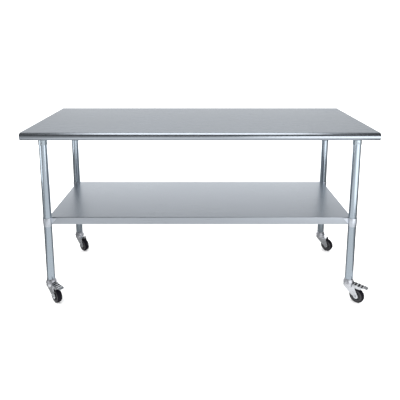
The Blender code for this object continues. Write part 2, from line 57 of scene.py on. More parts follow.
# Clearances, sheet thicknesses and places of details, which the CAD model has too.
GAP = 0.0003
TOP_SHEET = 0.0012
SHELF_BEND = 0.0030
LEG_WALL = 0.0015
SOCKET_WALL = 0.0013
SOCKET_PLATE = 0.0030
SOCKET_PLATE_HALF = 0.038
SOCKET_SCREW_UP = 0.010
COLLAR_WALL = 0.0019
COLLAR_PLATE = 0.0030
COLLAR_REACH = 0.062
COLLAR_SCREW_UP = 0.014

# Fineness: sides of large and small round parts, and widths of softened edges.
FINE_SIDES = 72
SMALL_SIDES = 32
METAL_EDGE = 0.0004
SMALL_EDGE = 0.0003
EDGE_STEPS = 2
SHARP_ANGLE = math.radians(32)

# Caster sizes in the caster's own frame: +X trails to the axle, +Y is along it.
TRAIL = 0.0500
WHEEL_R = 0.0400
WHEEL_HALF = 0.0140
HUB_R = 0.0265
FORK_INNER = 0.0167
FORK_SHEET = 0.0025
FORK_OUTER = FORK_INNER + FORK_SHEET
FORK_END_R = 0.0130
CROWN_TOP = 0.0876
CROWN_R = 0.0277
CUP_R = 0.0272
CUP_TOP = 0.0983
SKIRT_BOTTOM = 0.0770
SKIRT_R = 0.0208
RACE_TOP = 0.1215
RACE_BOTTOM = 0.0988
RACE_R = 0.0288
TONGUE_END = 0.0500
LIP_END = 0.0545
LIP_TOP = 0.1010
PIVOT = Vector((0.0350, 0.0, 0.0950))
PEDAL_HALF = 0.0162
PEDAL_BARS = (0.0345, 0.0531, 0.0710, 0.0875)
PEDAL_BAR_HALF = 0.0038
PEDAL_START = Vector((0.0300, 0.0, 0.1055))
PEDAL_BEND = Vector((0.0925, 0.0, 0.1030))
PEDAL_END = Vector((0.1082, 0.0, 0.0990))
PEDAL_SLOPE = (PEDAL_BEND.z - PEDAL_START.z) / (PEDAL_BEND.x - PEDAL_START.x)
TAB_HALF = 0.0148


# Scene and mesh helpers ------------------------------------------------------
def add_object(name, data):
    obj = bpy.data.objects.new(name, data)
    bpy.context.scene.collection.objects.link(obj)
    return obj


def mesh_from(shape, name):
    mesh = bpy.data.meshes.new(name)
    shape.to_mesh(mesh)
    shape.free()
    return mesh


def mesh_of(shape, name):
    """The mesh of closed shapes, with all faces turned outwards."""
    bmesh.ops.recalc_face_normals(shape, faces=shape.faces)
    return mesh_from(shape, name)


def face_up(shape):
    """Turns an open skin so that its highest face looks up."""
    bmesh.ops.recalc_face_normals(shape, faces=shape.faces)
    top = max(shape.faces, key=lambda face: face.calc_center_median().z)
    if top.normal.z < 0:
        bmesh.ops.reverse_faces(shape, faces=shape.faces)


def circle(sides):
    return [2 * math.pi * step / sides for step in range(sides)]


def pairs(items):
    """Each item of a closed loop with the next one."""
    return zip(items, [*items[1:], items[0]])


def bridge(shape, here, there):
    """Faces from one closed ring to the next."""
    for (a, b), (c, d) in zip(pairs(here), pairs(there)):
        shape.faces.new((a, b, d, c))


def turned_rows(shape, profile, sides, matrix):
    rows = []
    for angle in circle(sides):
        c, s = math.cos(angle), math.sin(angle)
        rows.append([shape.verts.new(matrix @ Vector((r * c, r * s, z))) for r, z in profile])
    return rows


def add_turned(shape, profile, sides, matrix=Matrix.Identity(4)):
    """A closed ring turned about Z from a loop of (radius, z)."""
    for here, there in pairs(turned_rows(shape, profile, sides, matrix)):
        bridge(shape, here, there)


def add_capped(shape, profile, sides, matrix=Matrix.Identity(4)):
    """A solid turned about Z from an open line of (radius, z), with a flat face on each end."""
    rows = turned_rows(shape, profile, sides, matrix)
    for here, there in pairs(rows):
        for i in range(len(profile) - 1):
            shape.faces.new((here[i], there[i], there[i + 1], here[i + 1]))
    shape.faces.new([row[0] for row in rows])
    shape.faces.new([row[-1] for row in rows][::-1])


def nut_rings(shape, levels):
    """Rings about Z from (corner radius, z, whether it is a hexagon and not a circle)."""
    rings = []
    for size, z, is_hexagon in levels:
        ring = []
        for angle in circle(24):
            wedge = (angle + math.pi / 6) % (math.pi / 3) - math.pi / 6
            r = size * math.cos(math.pi / 6) / math.cos(wedge) if is_hexagon else size
            ring.append(shape.verts.new((r * math.cos(angle), r * math.sin(angle), z)))
        rings.append(ring)
    return rings


def add_plate(shape, outline, low, high, matrix=Matrix.Identity(4)):
    """A plate from an (x, z) outline, between two values of y."""
    near = [shape.verts.new(matrix @ Vector((x, low, z))) for x, z in outline]
    far = [shape.verts.new(matrix @ Vector((x, high, z))) for x, z in outline]
    shape.faces.new(near)
    shape.faces.new(far[::-1])
    bridge(shape, near, far)


def add_box(shape, low, high, matrix=Matrix.Identity(4)):
    outline = [(low[0], low[2]), (high[0], low[2]), (high[0], high[2]), (low[0], high[2])]
    add_plate(shape, outline, low[1], high[1], matrix)


def arc(centre, radius, start, end, steps):
    """Points on an arc, with its angles in degrees."""
    points = []
    for i in range(steps + 1):
        angle = math.radians(start + (end - start) * i / steps)
        points.append((centre[0] + radius * math.cos(angle), centre[1] + radius * math.sin(angle)))
    return points


def rounded(points, radius, steps=4):
    """A closed (x, z) outline whose corners are rounded."""
    path = []
    count = len(points)
    for i in range(count):
        corner = Vector(points[i])
        back = Vector(points[i - 1]) - corner
        onward = Vector(points[(i + 1) % count]) - corner
        reach = min(radius, back.length * 0.45, onward.length * 0.45)
        first = corner + back.normalized() * reach
        last = corner + onward.normalized() * reach
        for step in range(steps + 1):
            t = step / steps
            path.append(first * (1 - t) ** 2 + corner * 2 * t * (1 - t) + last * t**2)
    return [(p.x, p.y) for p in path]


def close_tower(shape, rings):
    """Faces up a stack of closed rings, with a flat face on each end."""
    for here, there in zip(rings, rings[1:]):
        bridge(shape, here, there)
    shape.faces.new(rings[0][::-1])
    shape.faces.new(rings[-1])


def add_bar(shape, path, radius, sides):
    """A round bar that follows a list of points, with closed ends."""
    rings = []
    for i, point in enumerate(path):
        ahead = path[min(i + 1, len(path) - 1)]
        behind = path[max(i - 1, 0)]
        turn = (ahead - behind).to_track_quat("Z", "Y").to_matrix()
        ring = []
        for angle in circle(sides):
            offset = turn @ Vector((radius * math.cos(angle), radius * math.sin(angle), 0))
            ring.append(shape.verts.new(point + offset))
        rings.append(ring)
    close_tower(shape, rings)


# Materials -------------------------------------------------------------------
# Between these two values lies nearly all of a noise.
NOISE_LOW = 0.3
NOISE_HIGH = 0.7
# Where the dark, plain and light tones of a metal stand on its tone's scale.
TONE_STOPS = (0.25, 0.5, 0.75)


class Finish:
    """A Principled material whose colour, roughness and bump come from noise."""

    def __init__(self, name, metallic):
        self.made = bpy.data.materials.new(name)
        self.made.use_nodes = True
        self.tree = self.made.node_tree
        self.shader = self.tree.nodes["Principled BSDF"]
        self.shader.inputs["Metallic"].default_value = metallic
        self.place = self.node("ShaderNodeTexCoord").outputs["Object"]

    def node(self, kind, **settings):
        made = self.tree.nodes.new(kind)
        for key, value in settings.items():
            setattr(made, key, value)
        return made

    def link(self, source, target):
        self.tree.links.new(source, target)

    def noise(self, stretch, detail=3, roughness=0.55):
        """Noise with this many features a metre along each axis."""
        mapping = self.node("ShaderNodeMapping")
        mapping.inputs["Scale"].default_value = stretch
        self.link(self.place, mapping.inputs["Vector"])
        noise = self.node("ShaderNodeTexNoise")
        noise.inputs["Scale"].default_value = 1.0
        noise.inputs["Detail"].default_value = detail
        noise.inputs["Roughness"].default_value = roughness
        self.link(mapping.outputs["Vector"], noise.inputs["Vector"])
        return noise.outputs["Fac"]

    def tones(self, value, base, darker, lighter):
        """The base colour, darker at low values and lighter at high ones, by these shares."""
        ramp = self.node("ShaderNodeValToRGB")
        low, middle, high = TONE_STOPS
        dark, light = ramp.color_ramp.elements
        dark.position, dark.color = low, (*(c * (1 - darker) for c in base), 1)
        light.position, light.color = high, (*(min(c * (1 + lighter), 1) for c in base), 1)
        ramp.color_ramp.elements.new(middle).color = (*base, 1)
        self.link(value, ramp.inputs["Fac"])
        self.link(ramp.outputs["Color"], self.shader.inputs["Base Color"])

    def spread(self, value, low, high):
        """The middle of a noise's range, mapped to low and high."""
        mapped = self.node("ShaderNodeMapRange")
        mapped.inputs["From Min"].default_value = NOISE_LOW
        mapped.inputs["From Max"].default_value = NOISE_HIGH
        mapped.inputs["To Min"].default_value = low
        mapped.inputs["To Max"].default_value = high
        self.link(value, mapped.inputs["Value"])
        return mapped.outputs["Result"]

    def added(self, first, second):
        made = self.node("ShaderNodeMath", operation="ADD")
        self.link(first, made.inputs[0])
        self.link(second, made.inputs[1])
        return made.outputs["Value"]

    def mixed(self, share, first, second):
        made = self.node("ShaderNodeMix", data_type="RGBA")
        self.link(share, made.inputs["Factor"])
        for name, value in (("A", first), ("B", second)):
            socket = next(s for s in made.inputs if s.name == name and s.type == "RGBA")
            if isinstance(value, tuple):
                socket.default_value = (*value, 1)
            else:
                self.link(value, socket)
        return next(s for s in made.outputs if s.type == "RGBA")

    def rough(self, output):
        self.link(output, self.shader.inputs["Roughness"])

    def bump(self, height, depth, strength):
        """Relief of this many metres."""
        made = self.node("ShaderNodeBump")
        made.inputs["Distance"].default_value = depth
        made.inputs["Strength"].default_value = strength
        self.link(height, made.inputs["Height"])
        self.link(made.outputs["Normal"], self.shader.inputs["Normal"])


def brushed_steel(name, grain, base, roughness):
    """Brushed stainless. The grain gives the features a metre along X, Y and Z."""
    finish = Finish(name, 1.0)
    lines = finish.noise(grain, detail=4, roughness=0.6)
    clouds = finish.noise((2.2, 2.2, 2.2), detail=2)
    streaks = finish.spread(lines, -0.05, 0.05)
    finish.tones(finish.added(streaks, clouds), base, 0.05, 0.05)
    smears = finish.spread(clouds, roughness - 0.03, roughness + 0.04)
    finish.rough(finish.added(streaks, smears))
    finish.bump(lines, 0.00001, 0.3)
    return finish.made


def mottled_metal(name, base, roughness, scale, depth, mottle=0.12):
    """Zinc plate or a tumbled casting: fine mottling with darker patches."""
    finish = Finish(name, 1.0)
    fine = finish.noise((scale, scale, scale), detail=4, roughness=0.65)
    patches = finish.noise((28, 28, 28), detail=2)
    tone = finish.added(finish.spread(fine, -0.12, 0.12), patches)
    finish.tones(tone, base, mottle, mottle / 2)
    finish.rough(finish.spread(fine, roughness - 0.05, roughness + 0.08))
    finish.bump(fine, depth, 0.5)
    return finish.made


def dusty_polymer(name, base, dust, roughness, scale, depth, gloss=0.3, inside=None):
    """Moulded rubber or plastic with a fine grain and a little dust.

    A second colour may start inside a radius about the piece's own Z.
    """
    finish = Finish(name, 0.0)
    finish.shader.inputs["Specular IOR Level"].default_value = gloss
    grain = finish.noise((scale, scale, scale), detail=3)
    patches = finish.noise((45, 45, 45), detail=3, roughness=0.6)
    share = finish.spread(patches, 0.0, 0.55)
    skin = finish.mixed(share, base, dust)
    if inside:
        colour, radius, blend = inside
        flat = finish.node("ShaderNodeVectorMath", operation="MULTIPLY")
        finish.link(finish.place, flat.inputs[0])
        flat.inputs[1].default_value = (1, 1, 0)
        length = finish.node("ShaderNodeVectorMath", operation="LENGTH")
        finish.link(flat.outputs["Vector"], length.inputs[0])
        within = finish.node("ShaderNodeMapRange")
        within.inputs["From Min"].default_value = radius + blend
        within.inputs["From Max"].default_value = radius
        finish.link(length.outputs["Value"], within.inputs["Value"])
        skin = finish.mixed(within.outputs["Result"], skin, colour)
    finish.link(skin, finish.shader.inputs["Base Color"])
    finish.rough(finish.spread(patches, roughness - 0.08, roughness + 0.10))
    finish.bump(grain, depth, 0.6)
    return finish.made


MATERIALS = {
    "top": brushed_steel("worktop_brushed_steel", (6, 900, 900), (0.52, 0.56, 0.612), 0.24),
    "shelf": brushed_steel("shelf_brushed_steel", (7, 800, 800), (0.51, 0.542, 0.585), 0.32),
    "leg": brushed_steel("leg_polished_steel", (500, 500, 9), (0.505, 0.572, 0.635), 0.17),
    "galvanised_sheet": mottled_metal(
        "galvanised_sheet", (0.50, 0.52, 0.53), 0.42, 160, 0.00003, mottle=0.25
    ),
    "socket": brushed_steel("socket_polished_steel", (500, 500, 30), (0.52, 0.59, 0.64), 0.20),
    "cast_stainless": mottled_metal("cast_stainless", (0.72, 0.76, 0.82), 0.34, 700, 0.00004),
    "plated_screw": mottled_metal("plated_screw", (0.66, 0.69, 0.73), 0.30, 900, 0.00002),
    "bright_zinc": mottled_metal(
        "bright_zinc", (0.84, 0.85, 0.88), 0.24, 420, 0.00003, mottle=0.22
    ),
    "race": mottled_metal("pressed_zinc", (0.64, 0.65, 0.69), 0.42, 420, 0.00003, mottle=0.22),
    "dull_zinc": mottled_metal("dull_zinc", (0.44, 0.45, 0.47), 0.34, 500, 0.00003),
    "sleeve_rubber": dusty_polymer(
        "sleeve_rubber", (0.006, 0.006, 0.007), (0.014, 0.014, 0.014), 0.62, 900, 0.00003
    ),
    "tyre_rubber": dusty_polymer(
        "tyre_rubber", (0.0035, 0.0025, 0.006), (0.010, 0.009, 0.012), 0.50, 1200, 0.00004,
        gloss=0.1, inside=((0.050, 0.049, 0.053), 0.0318, 0.0012),
    ),
    "hub_plastic": dusty_polymer(
        "hub_plastic", (0.035, 0.035, 0.038), (0.06, 0.06, 0.062), 0.42, 1500, 0.00003
    ),
}


def piece(name, mesh, finish, body, nodes=(), matrix=Matrix.Identity(4), bevel=0.0):
    """Puts a mesh in the scene as a named piece of the table that rides on a body."""
    obj = add_object(name, mesh)
    if not mesh.materials:
        mesh.materials.append(MATERIALS[finish])
        mesh.shade_smooth()
        mesh.set_sharp_from_angle(angle=SHARP_ANGLE)
    obj.matrix_world = matrix
    if bevel:
        edge = obj.modifiers.new("Edges", "BEVEL")
        edge.width = bevel
        edge.segments = EDGE_STEPS
        edge.limit_method = "ANGLE"
        edge.angle_limit = SHARP_ANGLE
        edge.harden_normals = True
    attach(obj, body)
    if nodes:
        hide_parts(*nodes)
    return obj


def place(x, y, z=0.0, turn=0.0):
    return Matrix.Translation((x, y, z)) @ Matrix.Rotation(turn, 4, "Z")


# Worktop and shelf -----------------------------------------------------------
def worktop_mesh(low, high):
    """The worktop's skin: bullnosed front and rear edges and turned-down ends."""
    radius = (high.z - low.z) / 2
    y = high.y - radius
    z = high.z - radius
    lip = 0.012
    corner = 0.0022
    steps = 28
    front = arc((-y, z), radius, 270, 90, steps)
    rear = arc((y, z), radius, 90, -90, steps)
    path = [(-y + lip, low.z), *front, *rear, (y - lip, low.z)]
    shape = bmesh.new()
    half = high.x
    rows = []
    for x in (-half, -half * 0.5, 0, half * 0.5, half):
        rows.append([shape.verts.new((x, py, pz)) for py, pz in path])
    for here, there in zip(rows, rows[1:]):
        for i in range(len(path) - 1):
            shape.faces.new((here[i], there[i], there[i + 1], here[i + 1]))
    shape.faces.new(rows[0])
    shape.faces.new(rows[-1][::-1])
    face_up(shape)
    ends = [edge for edge in shape.edges if len(edge.link_faces) == 2
            and all(abs(point.co.x) > half - GAP for point in edge.verts)]
    bmesh.ops.bevel(shape, geom=ends, offset=corner, segments=3, affect="EDGES", profile=0.5)
    return mesh_from(shape, "worktop")


def thickened(obj, thickness):
    """Gives a skin its sheet thickness, inwards, and keeps its large faces flat in the light."""
    solid = obj.modifiers.new("Sheet", "SOLIDIFY")
    solid.thickness = thickness
    solid.offset = -1
    solid.use_even_offset = True
    even = obj.modifiers.new("Even", "WEIGHTED_NORMAL")
    even.keep_sharp = True


def add_worktop():
    low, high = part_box("tabletop")
    top = piece("worktop_skin", worktop_mesh(low, high), "top", "frame", ["tabletop"])
    thickened(top, TOP_SHEET)


def leg_place(corner):
    """A leg's x, y, radius, lowest z and highest z."""
    low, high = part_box(f"{corner}_leg")
    middle = (low + high) / 2
    return middle.x, middle.y, (high.x - low.x) / 2, low.z, high.z


LEGS = {corner: leg_place(corner) for corner in CORNERS}


def shelf_outline(half_x, half_y):
    """The shelf's edge seen from above, cut away round the collars, as (x, y) points."""
    x, y, radius, _, _ = LEGS["rear_right"]
    clear = radius + GAP + COLLAR_WALL + GAP
    reach = half_x - x
    rise = half_y - y
    start = math.atan2(-math.sqrt(clear**2 - reach**2), reach)
    end = math.atan2(rise, -math.sqrt(clear**2 - rise**2))
    if end > start:
        end -= 2 * math.pi
    cut = []
    steps = 20
    for i in range(steps + 1):
        angle = start + (end - start) * i / steps
        cut.append((x + clear * math.cos(angle), y + clear * math.sin(angle)))
    quarters = []
    for side, face in ((1, 1), (-1, 1), (-1, -1), (1, -1)):
        points = [(side * px, face * py) for px, py in cut]
        quarters += points if side == face else points[::-1]
    return quarters


def add_shelf():
    low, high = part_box("undershelf")
    rim = shelf_outline(high.x, high.y)
    shape = bmesh.new()
    bend_z = high.z - SHELF_BEND
    levels = [(low.z, 0.0), (bend_z, 0.0)]
    bend = arc((high.y - SHELF_BEND, bend_z), SHELF_BEND, 18, 90, 4)
    levels += [(z, high.y - y) for y, z in bend]
    rows = []
    for z, pull in levels:
        row = []
        for x, y in rim:
            px = math.copysign(min(abs(x), high.x - pull), x)
            py = math.copysign(min(abs(y), high.y - pull), y)
            row.append(shape.verts.new((px, py, z)))
        rows.append(row)
    for here, there in zip(rows, rows[1:]):
        bridge(shape, here, there)
    shape.faces.new(rows[-1])
    face_up(shape)
    shelf = piece("shelf_skin", mesh_from(shape, "shelf"), "shelf", "shelf", ["undershelf"])
    thickened(shelf, TOP_SHEET)


# Legs and sockets ------------------------------------------------------------
# Lays a plate down, so that its (x, z) outline is (x, y) and its y is minus its height.
FLAT = Matrix.Rotation(-math.pi / 2, 4, "X")


def tube_mesh(radius, wall, low, high):
    """A tube with its ends deburred."""
    burr = 0.0003
    inner = radius - wall
    shape = bmesh.new()
    profile = [
        (radius - burr, high),
        (radius, high - burr),
        (radius, low + burr),
        (radius - burr, low),
        (inner + burr, low),
        (inner, low + burr),
        (inner, high - burr),
        (inner + burr, high),
    ]
    add_turned(shape, profile, FINE_SIDES)
    return mesh_of(shape, "leg_tube")


def top_socket_mesh(radius, low, high):
    """A pressed cup with a rolled lip, welded under its square plate."""
    inner = radius + GAP
    outer = inner + SOCKET_WALL
    plate_z = high - SOCKET_PLATE
    inside_plate = high - SOCKET_PLATE * 0.6
    burr, lip_r, weld, plate_corner = 0.0004, 0.0007, 0.0032, 0.006
    shape = bmesh.new()
    profile = [
        (inner, low + burr),
        (inner + burr, low),
        *arc((outer - lip_r, low + lip_r), lip_r, -90, 0, 3),
        *arc((outer + weld, plate_z - weld), weld, 180, 90, 5),
        (outer + weld * 1.3, inside_plate),
        (inner, inside_plate),
    ]
    add_turned(shape, profile, FINE_SIDES)
    side = SOCKET_PLATE_HALF
    square = [(-side, -side), (side, -side), (side, side), (-side, side)]
    add_plate(shape, rounded(square, plate_corner), -high, -plate_z, FLAT)
    return mesh_of(shape, "top_socket")


def screw_mesh():
    """A socket set screw along +Z with its hexagon recess, from z = 0."""
    radius, length, key, depth = 0.0040, 0.0050, 0.0022, 0.0026
    point, rim = 0.0006, 0.0005
    shape = bmesh.new()
    levels = [
        (radius - point, 0.0, False),
        (radius, point, False),
        (radius, length - rim, False),
        (radius - rim, length, False),
        (key, length, True),
        (key, length - depth, True),
    ]
    close_tower(shape, nut_rings(shape, levels))
    return mesh_of(shape, "set_screw")


def collar_mesh(radius, low, high, shelf_high, edge_x, edge_y):
    """A cast collar for a rear right leg: tapered ring, corner plate, ribs and screw boss."""
    inner = radius + GAP
    outer = inner + COLLAR_WALL
    taper, soft, burr = 0.0010, 0.0008, 0.0005
    foot = outer - taper
    shape = bmesh.new()
    profile = [
        (inner, high - burr),
        (inner + burr, high),
        *arc((outer - soft, high - soft), soft, 90, 0, 3),
        (outer, low + (high - low) / 3),
        *arc((foot - soft, low + soft), soft, 0, -90, 3),
        (inner + burr, low),
        (inner, low + burr),
    ]
    add_turned(shape, profile, FINE_SIDES)
    reach, cut = COLLAR_REACH, 0.014
    top = shelf_high - TOP_SHEET - GAP
    bottom = top - COLLAR_PLATE
    clear = inner + COLLAR_WALL * 0.55
    near = clear * 0.98
    wings = (
        [(-reach, edge_y), (-reach, cut - reach), (cut - reach, -reach),
         (-near, -reach), (-near, edge_y)],
        [(-clear, -reach), (edge_x, -reach), (edge_x, -near), (-clear, -near)],
    )
    for wing in wings:
        add_plate(shape, wing, -top, -bottom, FLAT)
    rib_foot, rib_end, rib_half, sunk = low + 0.012, reach * 0.80, 0.0015, 0.001
    rib = [(inner + burr, rib_foot), (outer, rib_foot), (rib_end, bottom),
           (rib_end, bottom + sunk), (inner + burr, bottom + sunk)]
    for angle in (math.pi, -math.pi / 2):
        add_plate(shape, rib, -rib_half, rib_half, Matrix.Rotation(angle, 4, "Z"))
    boss = [(0.0075, 0.0), (0.0068, 0.0022), (0.0046, 0.0022), (0.0046, 0.0)]
    aim = (
        place(0, 0, low + COLLAR_SCREW_UP, -3 * math.pi / 4)
        @ Matrix.Translation((outer - 0.0006, 0, 0))
        @ Matrix.Rotation(math.pi / 2, 4, "Y")
    )
    add_turned(shape, boss, 28, aim)
    return mesh_of(shape, "shelf_collar")


def add_legs():
    socket_low, socket_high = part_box("front_left_leg_socket")
    collar_low, collar_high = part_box("front_left_shelf_socket")
    _, shelf_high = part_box("undershelf")
    x, y, radius, leg_low, leg_high = LEGS["rear_right"]
    tube = tube_mesh(radius, LEG_WALL, leg_low, leg_high)
    socket = top_socket_mesh(radius, socket_low.z, socket_high.z)
    collar = collar_mesh(
        radius, collar_low.z, collar_high.z, shelf_high.z,
        shelf_high.x - SHELF_BEND - x, shelf_high.y - SHELF_BEND - y,
    )
    mirrored = collar.copy()
    mirrored.transform(Matrix.Diagonal((-1, 1, 1, 1)))
    mirrored.flip_normals()
    screw = screw_mesh()
    on_tube = Matrix.Translation((radius + GAP, 0, 0)) @ Matrix.Rotation(math.pi / 2, 4, "Y")
    for corner in CORNERS:
        x, y, _, _, _ = LEGS[corner]
        side, face = math.copysign(1, x), math.copysign(1, y)
        piece(f"{corner}_tube", tube, "leg", "frame", [f"{corner}_leg"], place(x, y))
        socket_turn = 0 if face < 0 else math.pi
        piece(
            f"{corner}_top_socket", socket, "socket", "frame",
            [f"{corner}_leg_socket"], place(x, y, 0, socket_turn), METAL_EDGE,
        )
        outward = socket_turn - math.pi / 2
        piece(
            f"{corner}_top_screw", screw, "plated_screw", "frame",
            [f"{corner}_leg_socket_screw"],
            place(x, y, socket_low.z + SOCKET_SCREW_UP, outward) @ on_tube,
        )
        piece(
            f"{corner}_collar", collar if side == face else mirrored, "cast_stainless",
            "shelf", [f"{corner}_shelf_socket"],
            place(x, y, 0, 0 if face > 0 else math.pi), METAL_EDGE,
        )
        inwards = math.atan2(-face, -side)
        piece(
            f"{corner}_collar_screw", screw, "plated_screw", "shelf",
            [f"{corner}_shelf_socket_screw"],
            place(x, y, collar_low.z + COLLAR_SCREW_UP, inwards) @ on_tube,
        )


# Casters ---------------------------------------------------------------------
def race_mesh():
    """The upper ball race: a pressed dome with a rolled rim."""
    hole, sheet = 0.0064, 0.0020
    outer = [(hole, RACE_TOP), (0.0206, RACE_TOP), (0.0218, RACE_TOP - 0.0012)]
    outer += [(0.0236, 0.1172), (0.0252, 0.1134), (0.0266, 0.1096), (0.0279, 0.1064)]
    outer += [(RACE_R - 0.0002, 0.1032), (RACE_R, 0.1018), (RACE_R, RACE_BOTTOM + 0.0006)]
    outer += [(RACE_R - 0.0006, RACE_BOTTOM), (RACE_R - 0.0018, RACE_BOTTOM)]
    inner = [(RACE_R - sheet, RACE_BOTTOM + 0.0008), (RACE_R - sheet, 0.1020)]
    inner += [(0.0256, 0.1058), (0.0226, 0.1130), (0.0192, RACE_TOP - sheet)]
    inner += [(hole, RACE_TOP - sheet)]
    shape = bmesh.new()
    add_turned(shape, outer + inner, FINE_SIDES)
    return mesh_of(shape, "race_dome")


def edge_at(line, z):
    """The x of a polyline of (x, z), going down, at a height."""
    for (x0, z0), (x1, z1) in zip(line, line[1:]):
        if z0 >= z >= z1:
            return x0 + (x1 - x0) * (z0 - z) / max(z0 - z1, 1e-9)
    return line[-1][0]


def fork_rows(eared):
    """Half the fork's outer skin, as rows of points from its middle line down to the axle."""
    bend, columns = 0.0055, 12
    shoulder = CROWN_TOP - bend
    reach = 0.0330 if eared else TONGUE_END
    axle = (TRAIL, WHEEL_R)
    back = [(-0.0222, CROWN_TOP), (-0.0215, 0.0800), *arc(axle, FORK_END_R, 218, 258, 4)]
    front_top, front_low = (0.0440, 0.0445) if eared else (TONGUE_END, TONGUE_END)
    front = [(front_top, CROWN_TOP), (front_low, 0.0800), *arc(axle, FORK_END_R, 14, -78, 6)]
    spans = []
    for y in (0.0, 0.006, 0.011):
        spans.append((-math.sqrt(CROWN_R**2 - y**2), reach, y, CROWN_TOP))
    for step in range(7):
        angle = math.radians(90 - 15 * step)
        y = FORK_OUTER - bend + bend * math.cos(angle)
        z = shoulder + bend * math.sin(angle)
        share = (CROWN_TOP - z) / bend
        height = min(z, CROWN_TOP - 0.0002)
        crown_x = -math.sqrt(max(CROWN_R**2 - y**2, 0))
        x0 = crown_x * (1 - share) + edge_at(back, height) * share
        x1 = reach * (1 - share) + edge_at(front, height) * share
        spans.append((x0, x1, y, z))
    heights = [shoulder - 0.004 * i for i in range(1, 9)]
    heights = [z for z in heights if z > WHEEL_R + 0.008]
    for degrees in (30, 12, -8, -28, -46, -62, -76, -87):
        heights.append(WHEEL_R + FORK_END_R * math.sin(math.radians(degrees)))
    round_from = WHEEL_R + FORK_END_R * math.sin(math.radians(32))
    for z in heights:
        x0, x1 = edge_at(back, z), edge_at(front, z)
        if z < round_from:
            across = math.sqrt(max(FORK_END_R**2 - (z - WHEEL_R) ** 2, 1e-9))
            x1 = TRAIL + across
            x0 = TRAIL - across if z < WHEEL_R else x0
        spans.append((x0, x1, FORK_OUTER, z))
    return [[(x0 + (x1 - x0) * i / columns, y, z) for i in range(columns + 1)]
            for x0, x1, y, z in spans]


def fork_sheet(eared):
    """The fork's folded sheet as a mesh, with its thickness."""
    half = fork_rows(eared)
    full = [[(x, -y, z) for x, y, z in row] for row in half[:0:-1]] + half
    shape = bmesh.new()
    grid = [[shape.verts.new(point) for point in row] for row in full]
    for here, there in zip(grid, grid[1:]):
        for i in range(len(here) - 1):
            shape.faces.new((here[i], here[i + 1], there[i + 1], there[i]))
    face_up(shape)
    helper = add_object("fork_sheet", mesh_from(shape, "fork_sheet"))
    thickened(helper, FORK_SHEET)
    graph = bpy.context.evaluated_depsgraph_get()
    solid = bpy.data.meshes.new_from_object(helper.evaluated_get(graph), depsgraph=graph)
    bpy.data.objects.remove(helper, do_unlink=True)
    return solid


def fork_mesh(eared):
    """The pressed fork: two sides bent down from the crown, ball cup, skirt, ears or lip."""
    shape = bmesh.new()
    shape.from_mesh(fork_sheet(eared))
    bowl = [(CUP_R - 0.0022, CUP_TOP), (CUP_R - 0.0005, CUP_TOP), (CUP_R, CUP_TOP - 0.0006)]
    bowl += [(CUP_R, CROWN_TOP + 0.0016), (CROWN_R, CROWN_TOP - 0.0004)]
    bowl += [(CROWN_R, CROWN_TOP - 0.0026), (0.0262, 0.0823), (0.0238, 0.0792)]
    bowl += [(SKIRT_R, SKIRT_BOTTOM), (SKIRT_R - 0.002, SKIRT_BOTTOM)]
    bowl += [(SKIRT_R - 0.002, CROWN_TOP - 0.0012), (CUP_R - 0.0026, CROWN_TOP - 0.0006)]
    add_turned(shape, bowl, FINE_SIDES)
    hole, rim = 0.0066, CUP_R - 0.0015
    floor_top, floor_low = CROWN_TOP + 0.0004, CROWN_TOP - 0.0018
    cup_floor = [(hole, floor_top), (rim, floor_top), (rim, floor_low), (hole, floor_low)]
    add_turned(shape, cup_floor, 48)
    if eared:
        ear = arc((PIVOT.x, PIVOT.z), 0.0060, 152, 18, 8)
        ear += [(0.0436, 0.0835), (0.0268, 0.0835)]
        for low in (-FORK_OUTER, FORK_INNER):
            add_plate(shape, ear, low, low + FORK_SHEET)
    else:
        wide = FORK_INNER - 0.0022
        lip = [(TONGUE_END - 0.0030, CROWN_TOP - 0.0024), (TONGUE_END, CROWN_TOP - 0.0024)]
        lip += [(TONGUE_END + 0.0013, CROWN_TOP - 0.0006), (LIP_END + 0.0010, LIP_TOP - 0.0008)]
        lip += [(LIP_END - 0.0010, LIP_TOP), (TONGUE_END - 0.0013, CROWN_TOP + 0.0010)]
        lip += [(TONGUE_END - 0.0030, CROWN_TOP - 0.0001)]
        add_plate(shape, lip, -wide, wide)
    dimple = [(0.0098, -0.0006), (0.0092, 0.0004), (0.0046, 0.0004), (0.0046, -0.0006)]
    for face in (-1, 1):
        at_axle = Matrix.Translation((TRAIL, face * FORK_OUTER, WHEEL_R))
        outwards = Matrix.Rotation(-face * math.pi / 2, 4, "X")
        add_turned(shape, dimple, SMALL_SIDES, at_axle @ outwards)
    return mesh_of(shape, "fork")


def tyre_mesh():
    """The tyre, about Z: a crowned tread, rounded shoulders and a moulded side ring."""
    half, top = WHEEL_HALF, WHEEL_R
    inner = HUB_R + GAP
    side = [(inner, half - 0.0016), (inner + 0.0010, half - 0.0010), (0.0300, half - 0.0008)]
    side += [(0.0306, half - 0.0002), (0.0318, half - 0.0002), (0.0324, half - 0.0008)]
    side += [(0.0345, half - 0.0006), (0.0366, half - 0.0016), (0.0383, half - 0.0038)]
    side += [(0.0394, half - 0.0068), (top - 0.0001, half - 0.0105), (top, 0.0006)]
    profile = side + [(r, -z) for r, z in side[::-1]]
    shape = bmesh.new()
    add_turned(shape, profile, 96)
    return mesh_of(shape, "tyre")


